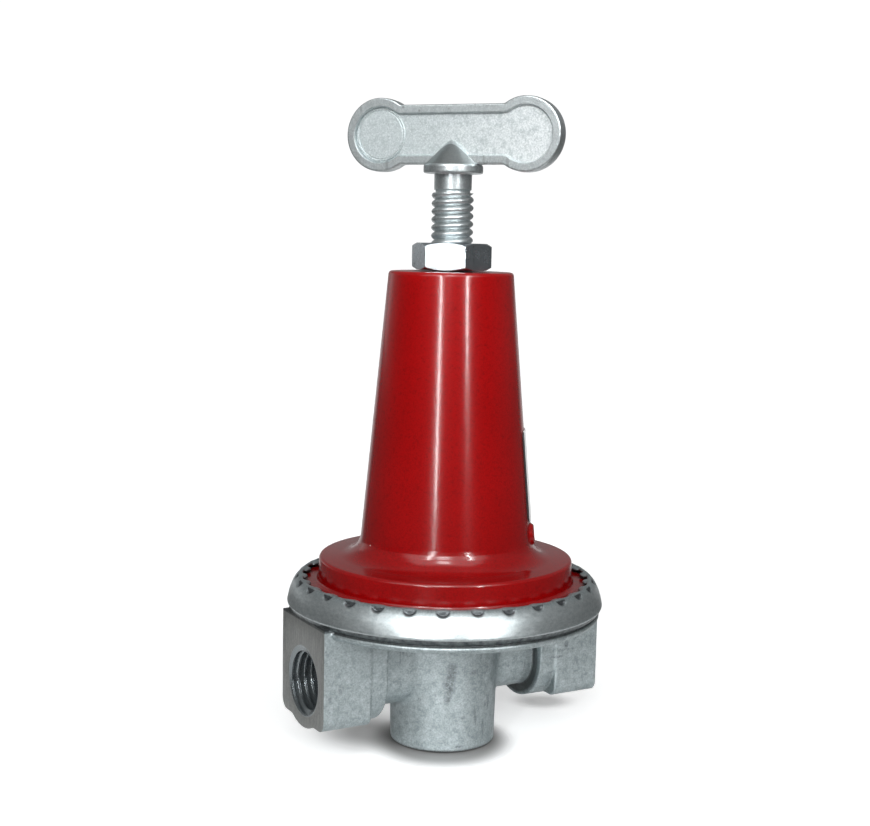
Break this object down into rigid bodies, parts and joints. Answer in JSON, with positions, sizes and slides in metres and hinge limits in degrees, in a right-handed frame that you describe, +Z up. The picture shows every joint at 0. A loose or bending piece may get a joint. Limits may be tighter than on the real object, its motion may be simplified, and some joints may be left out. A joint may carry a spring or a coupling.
{
  "type": "gas regulator",
  "caption": "Adjustable high-pressure gas regulator: die-cast ported body, crimped-in tapered spring bonnet and T-handle adjusting screw with jam nut.",
  "frame": {"origin": "centre of the flat bottom face of the central boss", "axes": "+Z up along the adjusting screw's axis, X along the port axis with the inlet at -X, Y across"},
  "size_m": [0.0644, 0.0644, 0.1302],
  "materials": {
    "cast_zinc": "as-cast zinc alloy, matte mottled grey",
    "handle_zinc": "die-cast zinc, bright satin",
    "red_enamel": "glossy red enamel with faint orange peel",
    "plated_steel": "zinc-plated steel",
    "spring_steel": "oiled spring wire",
    "brass": "machined brass",
    "nitrile_rubber": "black nitrile rubber, matte",
    "label_foil": "plain white foil label, no print",
    "wire_mesh": "fine wire mesh"
  },
  "bodies": {
    "housing": {"body_casting": "cast_zinc", "bonnet": "red_enamel", "vent_screen": "wire_mesh", "bonnet_label": "label_foil", "slip_ring": "plated_steel", "diaphragm": "nitrile_rubber", "main_spring": "spring_steel", "valve_nozzle": "brass", "nozzle_o_ring": "nitrile_rubber", "poppet_spring": "spring_steel", "inlet_screen": "wire_mesh", "screen_ring": "spring_steel"},
    "button": {"spring_button": "plated_steel"},
    "handle": {"adjusting_screw": "handle_zinc"},
    "lock_nut": {"jam_nut": "plated_steel"},
    "diaphragm_stack": {"diaphragm_plate": "plated_steel", "diaphragm_washer": "plated_steel", "pusher_post": "brass", "post_lock_washer": "spring_steel", "post_nut": "plated_steel"},
    "poppet": {"valve_poppet": "brass", "valve_seat_disc": "nitrile_rubber"}
  },
  "joints": [
    {"name": "screw_advance", "type": "slide", "parent": "housing", "child": "button", "axis": [0, 0, 1], "range_m": [-0.0135, 0.0032], "deforming": ["main_spring"]},
    {"name": "handle_turn", "type": "hinge", "parent": "button", "child": "handle", "pos_m": [0, 0, 0.1], "axis": [0, 0, 1], "range_deg": [-3060, 720]},
    {"name": "jam_nut_turn", "type": "hinge", "parent": "housing", "child": "lock_nut", "pos_m": [0, 0, 0.099], "axis": [0, 0, 1], "range_deg": [0, 360]},
    {"name": "diaphragm_stroke", "type": "slide", "parent": "housing", "child": "diaphragm_stack", "axis": [0, 0, 1], "range_m": [-0.0015, 0], "deforming": ["diaphragm"]},
    {"name": "poppet_lift", "type": "slide", "parent": "housing", "child": "poppet", "axis": [0, 0, 1], "range_m": [-0.0015, 0], "deforming": ["poppet_spring"]}
  ],
  "couplings": [
    {"joint": "screw_advance", "follows": "handle_turn", "m_per_rad": 0.00025266},
    {"joint": "poppet_lift", "follows": "diaphragm_stroke", "ratio": 1}
  ]
}
